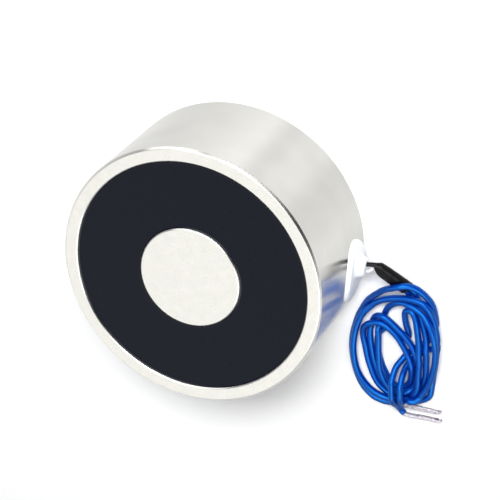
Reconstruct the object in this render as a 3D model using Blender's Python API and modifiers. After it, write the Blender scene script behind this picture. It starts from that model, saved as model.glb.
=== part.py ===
"""Round holding electromagnet, potted, 65 mm across and 30 mm high, with two flying leads.

The steel pot stands on its back face at Z 0 with the holding face up. The coil's leads leave
through a bush in the wall on the +X side, are joined to the flexible leads inside a piece of
heat-shrink tube, and the flexible leads lie loosely coiled on the surface beside the pot.

Run with: blender --background --python part.py
"""

import math

import bmesh
import bpy
import numpy as np
from mathutils import Matrix, Vector
from mathutils.geometry import interpolate_bezier

MM = 0.001
OBJECT_NAME = "holding_electromagnet"

# Clearances between neighbouring pieces
GAP = 0.3 * MM
LEAD_FIT = 0.1 * MM

# Steel pot, turned in one piece with its core
POT_DIAMETER = 65.0 * MM
POT_HEIGHT = 30.0 * MM
POT_WALL = 3.5 * MM
CORE_DIAMETER = 25.0 * MM
BACK_PLATE = 5.0 * MM
RIM_CHAMFER = 0.5 * MM
POLE_CHAMFER = 0.25 * MM
BACK_CHAMFER = 1.0 * MM

# M8 fixing hole in the middle of the back: its tapping drill, without the thread
TAP_DRILL_DIAMETER = 6.8 * MM
TAP_DEPTH = 12.0 * MM
TAP_MOUTH_DIAMETER = 8.6 * MM
DRILL_POINT_ANGLE = math.radians(118)

# Hole through the pot's wall for the coil's leads
WALL_HOLE_DIAMETER = 5.0 * MM
WALL_HOLE_ABOVE_FLOOR = 0.5 * MM

# Potting resin: a cap over the coil, with a skirt down the outside of it
RESIN_RECESS = 0.5 * MM
RESIN_CAP = 2.6 * MM
RESIN_SKIRT = 1.1 * MM
MENISCUS_RISE = 0.2 * MM
MENISCUS_REACH = 1.0 * MM
MENISCUS_STEEP_REACH = 0.35 * MM
MENISCUS_STEEP_DROP = 0.14 * MM

# Coil
BOBBIN_HUB = 1.2 * MM
BOBBIN_FLANGE = 1.2 * MM
BOBBIN_SLOT = 2.4 * MM
TAPE_THICKNESS = 0.4 * MM
WINDING_CORNER = 0.4 * MM

# Exit bush: a saddle on the wall, a boss outside it, and a neck with a lip inside the wall
SADDLE_LENGTH = 16.4 * MM
SADDLE_HEIGHT = 10.8 * MM
SADDLE_THICKNESS = 0.9 * MM
SADDLE_DRAFT = 0.35 * MM
SADDLE_TURN = math.radians(-3)
BOSS_PROJECTION = 2.0 * MM
BOSS_BASE_DIAMETER = 5.8 * MM
BOSS_TIP_DIAMETER = 4.6 * MM
BOSS_EDGE = 0.3 * MM
LIP_OVERHANG = 0.2 * MM
LIP_THICKNESS = 0.7 * MM
LIP_TAPER = 0.3 * MM

# The coil's own leads, in sleeves, and their splices to the flexible leads
COIL_LEAD_DIAMETER = 0.4 * MM
SLEEVE_DIAMETER = 1.1 * MM
SLEEVE_WALL = 0.2 * MM
SLEEVE_SPACING = 1.9 * MM
SPLICE_DIAMETER = 1.1 * MM

# Heat-shrink tube over both splices, and where things lie inside it, from its near end
SHRINK_LENGTH = 9.5 * MM
SHRINK_WALL = 0.22 * MM
SHRINK_ROLL = math.radians(13)
SHRINK_MOUTH_SLANT = 1.9 * MM
SLEEVE_REACH = 3.0 * MM
SPLICE_START = 3.8 * MM
SPLICE_LENGTH = 2.8 * MM

# Flexible leads
LEAD_DIAMETER = 1.6 * MM
TIP_DIAMETER = 1.0 * MM

# Route of the leads, in mm: across from the mouth of the bush, along Y, and up from the surface
SHRINK_NEAR_END = Vector((2.6, 0.1)) * MM
SHRINK_DROP = 0.9 * MM
SHRINK_DIRECTION = Vector((0.64, -0.64, -0.43)).normalized()
BEND_REACH = 1.3 * MM
RUN_ENDS = {"a": Vector((11.3, -9.5, 2.1)) * MM, "b": Vector((9.3, -8.75, 2.1)) * MM}
RUN_END_DIRECTION = Vector((0.0, -1.0, -0.1)).normalized()
RUN_BEND = {"a": 1.6 * MM, "b": 0.9 * MM}
COIL_CENTRE = Vector((6.3, -22.9)) * MM
COIL_WIDTH = 22.2 * MM
COIL_LENGTH = 28.2 * MM
COIL_HOLE_LENGTH = 11.8 * MM
COIL_HEIGHT = 4.2 * MM
COIL_CORNER = 1.4 * MM
TAIL_ROUTES = {
    "a": (
        (7.2, -29.6, 5.35),
        (7.1, -31.8, 5.35),
        (7.3, -34.4, 5.35),
        (7.5, -36.3, 5.25),
        (7.7, -37.7, 4.3),
        (8.0, -39.1, 2.7),
        (8.5, -40.6, 1.4),
        (9.1, -41.6, 0.95),
        (9.6, -42.1, 0.85),
    ),
    "b": (
        (9.3, -30.2, 5.35),
        (9.35, -33.0, 5.35),
        (9.5, -35.4, 5.3),
        (9.6, -36.7, 4.7),
        (9.7, -37.6, 3.7),
    ),
}
TIP_ROUTES = {
    "a": ((9.9, -42.3, 0.82), (11.6, -42.4, 0.75), (15.0, -42.2, 0.65), (19.2, -42.2, 0.6)),
    "b": ((9.8, -37.95, 3.3), (11.0, -38.5, 2.7), (12.9, -39.0, 2.0), (15.3, -39.4, 1.3), (18.9, -39.9, 0.6)),
}

# Fineness of the solids
TURN_STEPS = 96
SMALL_TURN_STEPS = 32
COIL_TURN_STEPS = 48
SADDLE_SIDES = 48
LEAD_SIDES = 16
SHRINK_SIDE_STEPS = 8
BEND_POINTS = 7
ROUTE_POINTS = 12
ROUTE_SPACING = 2.4 * MM
ROUND_EDGE_STEPS = 3
SHARP_ANGLE = math.radians(32)
WELD_DISTANCE = 0.001 * MM

# Sizes that follow from the ones above
pot_radius = POT_DIAMETER / 2
bore_radius = pot_radius - POT_WALL
core_radius = CORE_DIAMETER / 2
pocket_floor = BACK_PLATE
bush_height = pocket_floor + WALL_HOLE_ABOVE_FLOOR + WALL_HOLE_DIAMETER / 2
resin_top = POT_HEIGHT - RESIN_RECESS
resin_underside = resin_top - RESIN_CAP
resin_outer_radius = bore_radius - GAP
skirt_inner_radius = resin_outer_radius - RESIN_SKIRT
coil_outer_radius = skirt_inner_radius - GAP
bobbin_bottom = pocket_floor + GAP
bobbin_top = resin_underside - GAP
bobbin_bore_radius = core_radius + GAP
hub_radius = bobbin_bore_radius + BOBBIN_HUB
winding_bottom = bobbin_bottom + BOBBIN_FLANGE + GAP
winding_top = bobbin_top - BOBBIN_FLANGE - GAP
neck_radius = WALL_HOLE_DIAMETER / 2 - GAP
lip_radius = WALL_HOLE_DIAMETER / 2 + LIP_OVERHANG
lip_outer_face = math.sqrt(bore_radius**2 - lip_radius**2) - GAP
saddle_inner_radius = pot_radius + GAP
saddle_outer_radius = saddle_inner_radius + SADDLE_THICKNESS
bush_mouth = saddle_outer_radius + BOSS_PROJECTION
skirt_bottom = bush_height + lip_radius + GAP


def collection(name):
    """A new collection in the scene."""
    made = bpy.data.collections.new(name)
    bpy.context.scene.collection.children.link(made)
    return made


def linear(channel):
    """One sRGB channel, 0 to 1, as scene-linear light."""
    return channel / 12.92 if channel <= 0.04045 else ((channel + 0.055) / 1.055) ** 2.4


def material(name, colour, metallic, roughness):
    """A Principled material from a colour written as #rrggbb."""
    made = bpy.data.materials.new(name)
    made.use_nodes = True
    shader = made.node_tree.nodes["Principled BSDF"]
    channels = [int(colour[i : i + 2], 16) / 255 for i in (1, 3, 5)]
    shader.inputs["Base Color"].default_value = (*map(linear, channels), 1.0)
    shader.inputs["Metallic"].default_value = metallic
    shader.inputs["Roughness"].default_value = roughness
    return made


def turned(name, profile, closed=False, steps=TURN_STEPS):
    """A shape turned about Z from (radius, height) points that run down its outer side."""
    shape = bmesh.new()
    points = [shape.verts.new((radius, 0.0, height)) for radius, height in profile]
    for first, second in zip(points, points[1:]):
        shape.edges.new((first, second))
    if closed:
        shape.edges.new((points[-1], points[0]))
    mesh = bpy.data.meshes.new(name)
    shape.to_mesh(mesh)
    shape.free()
    obj = bpy.data.objects.new(name, mesh)
    screw = obj.modifiers.new("Turn", "SCREW")
    screw.axis = "Z"
    screw.angle = 2 * math.pi
    screw.steps = steps
    screw.render_steps = steps
    screw.use_merge_vertices = True
    screw.merge_threshold = WELD_DISTANCE
    return obj


def cylinder(name, radius, start, end, sides=SMALL_TURN_STEPS, end_radius=None):
    """A cylinder, or a cone, between two points."""
    span = end - start
    shape = bmesh.new()
    bmesh.ops.create_cone(
        shape,
        cap_ends=True,
        segments=sides,
        radius1=radius,
        radius2=radius if end_radius is None else end_radius,
        depth=span.length,
    )
    mesh = bpy.data.meshes.new(name)
    shape.to_mesh(mesh)
    shape.free()
    obj = bpy.data.objects.new(name, mesh)
    turn = span.to_track_quat("Z", "Y").to_matrix().to_4x4()
    obj.matrix_world = Matrix.Translation((start + end) / 2) @ turn
    return obj


def tube(name, points, radius):
    """A round bar along a line of points, as a curve with closed ends."""
    curve = bpy.data.curves.new(name, "CURVE")
    curve.dimensions = "3D"
    curve.bevel_depth = radius
    curve.bevel_resolution = 2
    curve.use_fill_caps = True
    spline = curve.splines.new("POLY")
    spline.points.add(len(points) - 1)
    for point, place in zip(spline.points, points):
        point.co = (*place, 1.0)
    return bpy.data.objects.new(name, curve)


def combine(obj, other, operation, cutters):
    """Adds a Boolean with another object, which goes among the cutters."""
    if other.name not in cutters.objects:
        cutters.objects.link(other)
        other.hide_render = True
        other.display_type = "WIRE"
    boolean = obj.modifiers.new(operation.title() + " " + other.name, "BOOLEAN")
    boolean.operation = operation
    boolean.solver = "EXACT"
    boolean.object = other


def as_mesh(obj, holder):
    """The object as a plain mesh, with its modifiers applied, in a collection."""
    if obj.name not in holder.objects:
        holder.objects.link(obj)
    bpy.context.view_layer.update()
    graph = bpy.context.evaluated_depsgraph_get()
    mesh = bpy.data.meshes.new_from_object(obj.evaluated_get(graph))
    name = obj.name
    place = obj.matrix_world.copy()
    bpy.data.objects.remove(obj, do_unlink=True)
    shape = bmesh.new()
    shape.from_mesh(mesh)
    bmesh.ops.remove_doubles(shape, verts=shape.verts, dist=WELD_DISTANCE)
    shape.to_mesh(mesh)
    shape.free()
    made = bpy.data.objects.new(name, mesh)
    made.matrix_world = place
    holder.objects.link(made)
    return made


def finished(obj, parts, look, root):
    """The object as a mesh with its material, smooth where it is round."""
    obj = as_mesh(obj, parts)
    obj.data.shade_smooth()
    obj.data.set_sharp_from_angle(angle=SHARP_ANGLE)
    obj.data.materials.clear()
    obj.data.materials.append(look)
    obj.parent = root


def arc(centre, radius, start, end, steps=ROUND_EDGE_STEPS):
    """Points of an arc in a profile, from one angle to another in degrees."""
    for step in range(steps + 1):
        angle = math.radians(start + (end - start) * step / steps)
        yield (centre[0] + radius * math.cos(angle), centre[1] + radius * math.sin(angle))


def rounded_section(inner, outer, bottom, top, corner):
    """A ring's section with round corners, running down its outer side."""
    return [
        *arc((outer - corner, top - corner), corner, 90, 0),
        *arc((outer - corner, bottom + corner), corner, 0, -90),
        *arc((inner + corner, bottom + corner), corner, -90, -180),
        *arc((inner + corner, top - corner), corner, 180, 90),
    ]


def smooth_route(points, spacing):
    """Evenly spaced points on a smooth curve through the route's own points."""
    points = [Vector(point) for point in points]
    ends = [2 * points[0] - points[1], *points, 2 * points[-1] - points[-2]]
    line = [points[0]]
    for before, start, end, after in zip(ends, ends[1:], ends[2:], ends[3:]):
        handles = start + (end - before) / 6, end - (after - start) / 6
        line += interpolate_bezier(start, *handles, end, ROUTE_POINTS)[1:]
    steps = max(2, round(route_length(line) / spacing))
    return [point_along(line, route_length(line) * step / steps) for step in range(steps + 1)]


def distances(line):
    """The distance along a line of points to each of them."""
    steps = [(second - first).length for first, second in zip(line, line[1:])]
    return np.concatenate([[0.0], np.cumsum(steps)])


def route_length(line):
    return distances(line)[-1]


def point_along(line, distance):
    """The point at a distance along a line of points."""
    along = distances(line)
    return Vector([np.interp(distance, along, [point[axis] for point in line]) for axis in range(3)])


def stretch(line, start, end):
    """The part of a line of points between two distances along it."""
    inside = [point for point, at in zip(line, distances(line)) if start < at < end]
    return [point_along(line, start), *inside, point_along(line, end)]


def make_pot(cutters):
    """The steel cup, its core and its tapped hole, with the leads' hole in the wall."""
    drill_radius = TAP_DRILL_DIAMETER / 2
    mouth_radius = TAP_MOUTH_DIAMETER / 2
    point_height = drill_radius / math.tan(DRILL_POINT_ANGLE / 2)
    pot = turned(
        "pot",
        [
            (0.0, POT_HEIGHT),
            (core_radius - POLE_CHAMFER, POT_HEIGHT),
            (core_radius, POT_HEIGHT - POLE_CHAMFER),
            (core_radius, pocket_floor),
            (bore_radius, pocket_floor),
            (bore_radius, POT_HEIGHT - POLE_CHAMFER),
            (bore_radius + POLE_CHAMFER, POT_HEIGHT),
            (pot_radius - RIM_CHAMFER, POT_HEIGHT),
            (pot_radius, POT_HEIGHT - RIM_CHAMFER),
            (pot_radius, BACK_CHAMFER),
            (pot_radius - BACK_CHAMFER, 0.0),
            (mouth_radius, 0.0),
            (drill_radius, mouth_radius - drill_radius),
            (drill_radius, TAP_DEPTH),
            (0.0, TAP_DEPTH + point_height),
        ],
    )
    start = Vector((bore_radius - POT_WALL, 0.0, bush_height))
    end = Vector((pot_radius + POT_WALL, 0.0, bush_height))
    combine(pot, cylinder("wall_hole_cutter", WALL_HOLE_DIAMETER / 2, start, end), "DIFFERENCE", cutters)
    return pot


def make_bobbin(cutters):
    """The moulded spool on the core, with a slot in its lower flange for the inner lead."""
    lower_top = bobbin_bottom + BOBBIN_FLANGE
    upper_bottom = bobbin_top - BOBBIN_FLANGE
    bobbin = turned(
        "coil_bobbin",
        [
            (coil_outer_radius, bobbin_top),
            (coil_outer_radius, upper_bottom),
            (hub_radius, upper_bottom),
            (hub_radius, lower_top),
            (coil_outer_radius, lower_top),
            (coil_outer_radius, bobbin_bottom),
            (bobbin_bore_radius, bobbin_bottom),
            (bobbin_bore_radius, bobbin_top),
        ],
        closed=True,
    )
    slot_start = hub_radius + BOBBIN_SLOT / 2
    slot_end = coil_outer_radius + BOBBIN_SLOT
    shape = bmesh.new()
    bmesh.ops.create_cube(shape, size=1.0)
    size = Vector((slot_end - slot_start, BOBBIN_SLOT, 3 * BOBBIN_FLANGE))
    bmesh.ops.scale(shape, vec=size, verts=shape.verts)
    mesh = bpy.data.meshes.new("bobbin_slot_cutter")
    shape.to_mesh(mesh)
    shape.free()
    cutter = bpy.data.objects.new("bobbin_slot_cutter", mesh)
    cutter.location = ((slot_start + slot_end) / 2, SLEEVE_SPACING / 2, lower_top - size.z / 2 + GAP / 2)
    combine(bobbin, cutter, "DIFFERENCE", cutters)
    return bobbin


def make_winding():
    """The enamelled copper between the spool's flanges."""
    outer = coil_outer_radius - TAPE_THICKNESS - GAP
    section = rounded_section(hub_radius + GAP, outer, winding_bottom, winding_top, WINDING_CORNER)
    return turned("winding", section, closed=True)


def make_tape():
    """The tape wound round the outside of the copper."""
    inner = coil_outer_radius - TAPE_THICKNESS
    profile = [
        (coil_outer_radius, winding_top),
        (coil_outer_radius, winding_bottom),
        (inner, winding_bottom),
        (inner, winding_top),
    ]
    return turned("winding_tape", profile, closed=True)


def make_resin():
    """The cast resin, which creeps a little way up the core and the wall."""
    resin_inner_radius = core_radius + GAP
    profile = [
        (resin_outer_radius, resin_top),
        (resin_outer_radius, skirt_bottom),
        (skirt_inner_radius, skirt_bottom),
        (skirt_inner_radius, resin_underside),
        (resin_inner_radius, resin_underside),
        (resin_inner_radius, resin_top),
        (resin_inner_radius + MENISCUS_STEEP_REACH, resin_top - MENISCUS_STEEP_DROP),
        (resin_inner_radius + MENISCUS_REACH, resin_top - MENISCUS_RISE),
        (resin_outer_radius - MENISCUS_REACH, resin_top - MENISCUS_RISE),
        (resin_outer_radius - MENISCUS_STEEP_REACH, resin_top - MENISCUS_STEEP_DROP),
    ]
    return turned("potting_resin", profile, closed=True)


def make_bush(cutters):
    """The soft moulded bush: an oval saddle that follows the wall, joined to a turned stem."""
    saddle = turned(
        "exit_bush",
        [
            (saddle_outer_radius, bush_height + SADDLE_HEIGHT),
            (saddle_outer_radius, bush_height - SADDLE_HEIGHT),
            (saddle_inner_radius, bush_height - SADDLE_HEIGHT),
            (saddle_inner_radius, bush_height + SADDLE_HEIGHT),
        ],
        closed=True,
    )
    oval = cylinder(
        "saddle_outline",
        SADDLE_LENGTH / 2,
        Vector((saddle_inner_radius - SADDLE_LENGTH / 4, 0.0, 0.0)),
        Vector((saddle_outer_radius + SADDLE_THICKNESS, 0.0, 0.0)),
        sides=SADDLE_SIDES,
        end_radius=SADDLE_LENGTH / 2 - SADDLE_DRAFT,
    )
    flatten = Matrix.Diagonal((1.0, 1.0, SADDLE_HEIGHT / SADDLE_LENGTH, 1.0))
    turn = Matrix.Rotation(SADDLE_TURN, 4, "Z")
    lift = Matrix.Translation((0.0, 0.0, bush_height))
    oval.data.transform(lift @ turn @ flatten @ oval.matrix_world)
    oval.matrix_world = Matrix.Identity(4)
    combine(saddle, oval, "INTERSECT", cutters)

    boss_root = saddle_inner_radius + SADDLE_THICKNESS / 2
    stem = turned(
        "bush_stem",
        [
            (0.0, bush_mouth),
            (BOSS_TIP_DIAMETER / 2 - BOSS_EDGE, bush_mouth),
            (BOSS_TIP_DIAMETER / 2, bush_mouth - BOSS_EDGE),
            (BOSS_BASE_DIAMETER / 2, saddle_outer_radius),
            (BOSS_BASE_DIAMETER / 2, boss_root),
            (neck_radius, boss_root),
            (neck_radius, lip_outer_face),
            (lip_radius, lip_outer_face),
            (lip_radius, lip_outer_face - LIP_THICKNESS + LIP_TAPER),
            (lip_radius - LIP_TAPER, lip_outer_face - LIP_THICKNESS),
            (0.0, lip_outer_face - LIP_THICKNESS),
        ],
        steps=SMALL_TURN_STEPS,
    )
    stem.rotation_euler = (0.0, math.pi / 2, 0.0)
    stem.location = (0.0, 0.0, bush_height)
    combine(saddle, stem, "UNION", cutters)

    for side in (1, -1):
        cutter = cylinder(
            f"lead_hole_cutter_{'start' if side > 0 else 'finish'}",
            SLEEVE_DIAMETER / 2 + LEAD_FIT,
            Vector((lip_outer_face - 2 * LIP_THICKNESS, side * SLEEVE_SPACING / 2, bush_height)),
            Vector((bush_mouth + BOSS_PROJECTION, side * SLEEVE_SPACING / 2, bush_height)),
            sides=LEAD_SIDES,
        )
        combine(saddle, cutter, "DIFFERENCE", cutters)
    return saddle


def shrink_frame():
    """The heat-shrink tube's near end, its direction, its wide side and its narrow side."""
    near_end = Vector((bush_mouth + SHRINK_NEAR_END.x, SHRINK_NEAR_END.y, bush_height - SHRINK_DROP))
    level = Vector((0.0, 0.0, 1.0)).cross(SHRINK_DIRECTION).normalized()
    upright = SHRINK_DIRECTION.cross(level)
    wide = level * math.cos(SHRINK_ROLL) + upright * math.sin(SHRINK_ROLL)
    return near_end, SHRINK_DIRECTION, wide, SHRINK_DIRECTION.cross(wide)


def channel_offset():
    """How far each lead lies from the heat-shrink tube's own middle line."""
    return (LEAD_DIAMETER + LEAD_FIT) / 2


def lead_line(side):
    """The middle line of one coil lead: out through the bush, then down the heat-shrink tube."""
    near_end, direction, wide, _ = shrink_frame()
    across = side * SLEEVE_SPACING / 2
    inner = Vector((coil_outer_radius + GAP, across, bush_height))
    mouth = Vector((bush_mouth, across, bush_height))
    entry = near_end + side * channel_offset() * wide
    handles = mouth + Vector((BEND_REACH, 0.0, 0.0)), entry - BEND_REACH * direction
    bend = interpolate_bezier(mouth, *handles, entry, BEND_POINTS)
    return [inner, *bend, entry + SHRINK_LENGTH * direction]


def make_coil_lead(name, side):
    """One enamelled end of the winding, as far as its splice."""
    line = lead_line(side)
    near_end = route_length(line) - SHRINK_LENGTH
    return tube(name, stretch(line, 0.0, near_end + SPLICE_START - GAP), COIL_LEAD_DIAMETER / 2)


def make_sleeve(name, side):
    """The sleeve over one coil lead, from just outside the coil to inside the heat-shrink tube."""
    line = lead_line(side)
    near_end = route_length(line) - SHRINK_LENGTH
    sleeve = tube(name, stretch(line, GAP, near_end + SLEEVE_REACH), SLEEVE_DIAMETER / 2)
    sleeve.data.use_fill_caps = False
    wall = sleeve.modifiers.new("Wall", "SOLIDIFY")
    wall.thickness = SLEEVE_WALL
    wall.offset = -1.0
    return sleeve


def make_splice(name, side):
    """The soldered joint between one coil lead and its flexible lead."""
    line = lead_line(side)
    near_end = route_length(line) - SHRINK_LENGTH
    start = point_along(line, near_end + SPLICE_START)
    end = point_along(line, near_end + SPLICE_START + SPLICE_LENGTH)
    return cylinder(name, SPLICE_DIAMETER / 2, start, end, sides=LEAD_SIDES)


def make_heat_shrink(parts, cutters):
    """The flattened tube over both splices, cut at a slant at its near end."""
    near_end, direction, wide, narrow = shrink_frame()
    place = Matrix((wide, narrow, direction)).transposed().to_4x4()
    place.translation = near_end + direction * SHRINK_LENGTH / 2
    radius = LEAD_DIAMETER / 2 + LEAD_FIT + SHRINK_WALL
    outline = bpy.data.curves.new("heat_shrink", "CURVE")
    outline.dimensions = "2D"
    outline.fill_mode = "NONE"
    outline.extrude = SHRINK_LENGTH / 2
    points = [
        *arc((channel_offset(), 0.0), radius, -90, 90, steps=SHRINK_SIDE_STEPS),
        *arc((-channel_offset(), 0.0), radius, 90, 270, steps=SHRINK_SIDE_STEPS),
    ]
    spline = outline.splines.new("POLY")
    spline.use_cyclic_u = True
    spline.points.add(len(points) - 1)
    for point, (across, up) in zip(spline.points, points):
        point.co = (across, up, 0.0, 1.0)
    shrink = bpy.data.objects.new("heat_shrink", outline)
    shrink.matrix_world = place
    wall = shrink.modifiers.new("Wall", "SOLIDIFY")
    wall.thickness = SHRINK_WALL
    wall.offset = -1.0
    shrink = as_mesh(shrink, parts)

    reach = channel_offset() + radius
    shape = bmesh.new()
    bmesh.ops.create_cube(shape, size=4 * reach)
    mesh = bpy.data.meshes.new("slant_cutter")
    shape.to_mesh(mesh)
    shape.free()
    cutter = bpy.data.objects.new("slant_cutter", mesh)
    slant = Matrix.Rotation(math.atan2(SHRINK_MOUTH_SLANT, 2 * reach), 4, "Y")
    corner = near_end + reach * wide
    below = Matrix.Translation((0.0, 0.0, -2 * reach))
    cutter.matrix_world = Matrix.Translation(corner) @ place.to_3x3().to_4x4() @ slant @ below
    combine(shrink, cutter, "DIFFERENCE", cutters)
    return shrink


def make_run(lead, side):
    """A flexible lead from its splice, out of the heat-shrink tube, to the loose coil."""
    line = lead_line(side)
    near_end = route_length(line) - SHRINK_LENGTH
    start = point_along(line, near_end + SPLICE_START + SPLICE_LENGTH + GAP)
    mouth = line[-1]
    end = RUN_ENDS[lead] + Vector((bush_mouth, 0.0, 0.0))
    bend = RUN_BEND[lead]
    handles = mouth + bend * SHRINK_DIRECTION, end - bend * RUN_END_DIRECTION
    route = [start, *interpolate_bezier(mouth, *handles, end, BEND_POINTS)]
    return tube(f"lead_{lead}_run", route, LEAD_DIAMETER / 2)


def make_loose_coil():
    """The outer shape of the leads' loose coil: a turned ring, drawn in to an oval."""
    section = rounded_section(COIL_HOLE_LENGTH / 2, COIL_LENGTH / 2, 0.0, COIL_HEIGHT, COIL_CORNER)
    coil = turned("lead_coil", section, closed=True, steps=COIL_TURN_STEPS)
    coil.location = (bush_mouth + COIL_CENTRE.x, COIL_CENTRE.y, 0.0)
    coil.scale = (COIL_WIDTH / COIL_LENGTH, 1.0, 1.0)
    return coil


def make_length(name, route, diameter):
    """A length of lead or bare conductor through a route's points."""
    points = [Vector(point) * MM + Vector((bush_mouth, 0.0, 0.0)) for point in route]
    return tube(name, smooth_route(points, ROUTE_SPACING), diameter / 2)


def main():
    for obj in list(bpy.data.objects):
        bpy.data.objects.remove(obj, do_unlink=True)
    parts = collection(OBJECT_NAME)
    cutters = collection("cutters")
    root = bpy.data.objects.new(OBJECT_NAME + "_root", None)
    parts.objects.link(root)

    def add(obj, colour, metallic, roughness):
        finished(obj, parts, material(obj.name, colour, metallic, roughness), root)

    add(make_pot(cutters), "#d9d8d2", 1.0, 0.16)
    add(make_bobbin(cutters), "#e4e0d2", 0.0, 0.55)
    add(make_winding(), "#a8562c", 1.0, 0.35)
    add(make_tape(), "#e3c14a", 0.0, 0.4)
    add(make_resin(), "#15161c", 0.0, 0.18)
    add(make_bush(cutters), "#f3f4f7", 0.0, 0.45)
    for name, side, sleeve_colour in (("start", 1, "#101012"), ("finish", -1, "#e9e9ea")):
        add(make_coil_lead(f"{name}_lead", side), "#a8562c", 1.0, 0.35)
        add(make_sleeve(f"{name}_sleeve", side), sleeve_colour, 0.0, 0.4)
        add(make_splice(f"{name}_splice", side), "#c9c9cc", 1.0, 0.3)
    add(make_heat_shrink(parts, cutters), "#17171a", 0.0, 0.5)
    add(make_loose_coil(), "#1f55c4", 0.0, 0.3)
    for lead, side in (("a", 1), ("b", -1)):
        add(make_run(lead, side), "#1f55c4", 0.0, 0.3)
        add(make_length(f"lead_{lead}_tail", TAIL_ROUTES[lead], LEAD_DIAMETER), "#1f55c4", 0.0, 0.3)
        add(make_length(f"lead_{lead}_tip", TIP_ROUTES[lead], TIP_DIAMETER), "#d6d3cf", 1.0, 0.3)


if __name__ == "__main__":
    main()
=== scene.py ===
"""Dresses a potted holding electromagnet: nickel-plated pot, cast resin face, loosely coiled leads."""

import math

import bmesh
import bpy
import numpy as np
from bpy.props import FloatProperty, FloatVectorProperty, PointerProperty
from mathutils import Matrix, Vector
from mathutils.geometry import interpolate_bezier


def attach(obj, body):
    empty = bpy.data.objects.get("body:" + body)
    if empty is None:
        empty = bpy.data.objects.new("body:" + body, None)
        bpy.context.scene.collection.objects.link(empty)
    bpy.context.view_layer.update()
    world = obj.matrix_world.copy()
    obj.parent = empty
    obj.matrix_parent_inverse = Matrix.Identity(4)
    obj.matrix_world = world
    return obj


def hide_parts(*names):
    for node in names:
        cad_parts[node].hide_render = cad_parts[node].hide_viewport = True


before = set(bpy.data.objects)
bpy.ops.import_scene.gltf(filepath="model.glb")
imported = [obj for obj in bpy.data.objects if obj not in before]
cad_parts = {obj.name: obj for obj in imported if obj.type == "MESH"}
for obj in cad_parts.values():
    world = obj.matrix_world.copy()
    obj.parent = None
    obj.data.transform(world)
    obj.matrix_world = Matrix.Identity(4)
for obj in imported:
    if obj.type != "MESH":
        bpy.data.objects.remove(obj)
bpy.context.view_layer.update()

bl_info = {
    "name": "Holding electromagnet",
    "version": (1, 0, 0),
    "blender": (4, 5, 0),
    "location": "View3D > Sidebar > Magnet",
    "description": "Builds the visible pieces and finishes of a potted holding electromagnet",
    "category": "Add Mesh",
}

MM = 0.001
BODY = "root"

# Steel pot
POT_RADIUS = 32.5 * MM
POT_HEIGHT = 30.0 * MM
BORE_RADIUS = 29.0 * MM
CORE_RADIUS = 12.5 * MM
POCKET_FLOOR = 5.0 * MM
RIM_CHAMFER = 0.5 * MM
POLE_CHAMFER = 0.25 * MM
BACK_CHAMFER = 1.0 * MM
WALL_HOLE_RADIUS = 2.5 * MM
SUPPORT = 0.06 * MM

# M8 thread in the back
THREAD_RADIUS = 4.0 * MM
THREAD_CREST = 3.35 * MM
THREAD_PITCH = 1.25 * MM
THREAD_TURNS = 8
HOLE_MOUTH_RADIUS = 4.5 * MM
HOLE_DEPTH = 12.0 * MM
HOLE_POINT = 2.0 * MM
THREAD_FIT = 0.02 * MM

# Resin
RESIN_TOP = 29.5 * MM
RESIN_UNDERSIDE = 26.9 * MM
SKIRT_BOTTOM = 11.0 * MM
SKIRT_RADIUS = 27.6 * MM
RESIN_FIT = 0.02 * MM
MENISCUS = ((0.0, 0.22), (0.12, 0.13), (0.35, 0.05), (0.8, 0.01), (1.5, 0.0))

# Exit bush
BUSH_HEIGHT = 8.0 * MM
BUSH_FACE = 32.8 * MM
BUSH_MOUTH = 35.7 * MM
BOSS_RADIUS = 3.0 * MM
SADDLE_HALF_LENGTH = 8.2 * MM
SADDLE_SLIMNESS = 10.8 / 16.4
SADDLE_TURN = math.radians(-3)
SEAT = 0.27 * MM
SLEEVE_SPACING = 1.9 * MM
SLEEVE_DIAMETER = 1.1 * MM
SLEEVE_WALL = 0.2 * MM
SLEEVE_INNER_REACH = 4.6 * MM
SLEEVE_HOLE_FIT = 0.05 * MM

# Heat-shrink tube over both joints
SHRINK_NEAR_END = Vector((BUSH_MOUTH + 2.6 * MM, 0.1 * MM, BUSH_HEIGHT - 0.9 * MM))
SHRINK_DIRECTION = Vector((0.64, -0.64, -0.43)).normalized()
SHRINK_LENGTH = 9.5 * MM
SHRINK_ROLL = math.radians(13)
SHRINK_WALL = 0.22 * MM
SHRINK_FIT = 0.1 * MM
FUNNEL_LENGTH = 2.0 * MM
FUNNEL_RADIUS = 0.68 * MM
FUNNEL_SHIFT = Vector((-0.35, 0.12)) * MM
# It fills out over its first part and has a slight waist: shares of its length and of its size
FILLED_SHARE = 0.35
WAIST_SHARE = 0.4
WAIST_WIDTH = 0.07
WAIST_DEPTH = 0.05
# Its mouth is cut at a slant through these two points, along and across
MOUTH_HIGH = Vector((0.3, -2.0)) * MM
MOUTH_LOW = Vector((-2.0, 2.6)) * MM
SLEEVE_REACH = 3.0 * MM
LEAD_START = 6.9 * MM

# Flexible leads; places are in mm, from the mouth of the bush in X
LEAD_DIAMETER = 1.6 * MM
TIP_DIAMETER = 1.0 * MM
BEND_REACH = 1.3 * MM
RUN_ENDS = {"a": (11.3, -9.5, 2.1), "b": (9.3, -8.75, 2.1)}
RUN_BENDS = {"a": 1.6 * MM, "b": 0.9 * MM}
RUN_END_DIRECTION = Vector((0.0, -1.0, -0.1)).normalized()
COIL_MIDDLE = Vector((6.5, -21.6))
COIL_REACH = Vector((10.6, 16.1))

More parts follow.
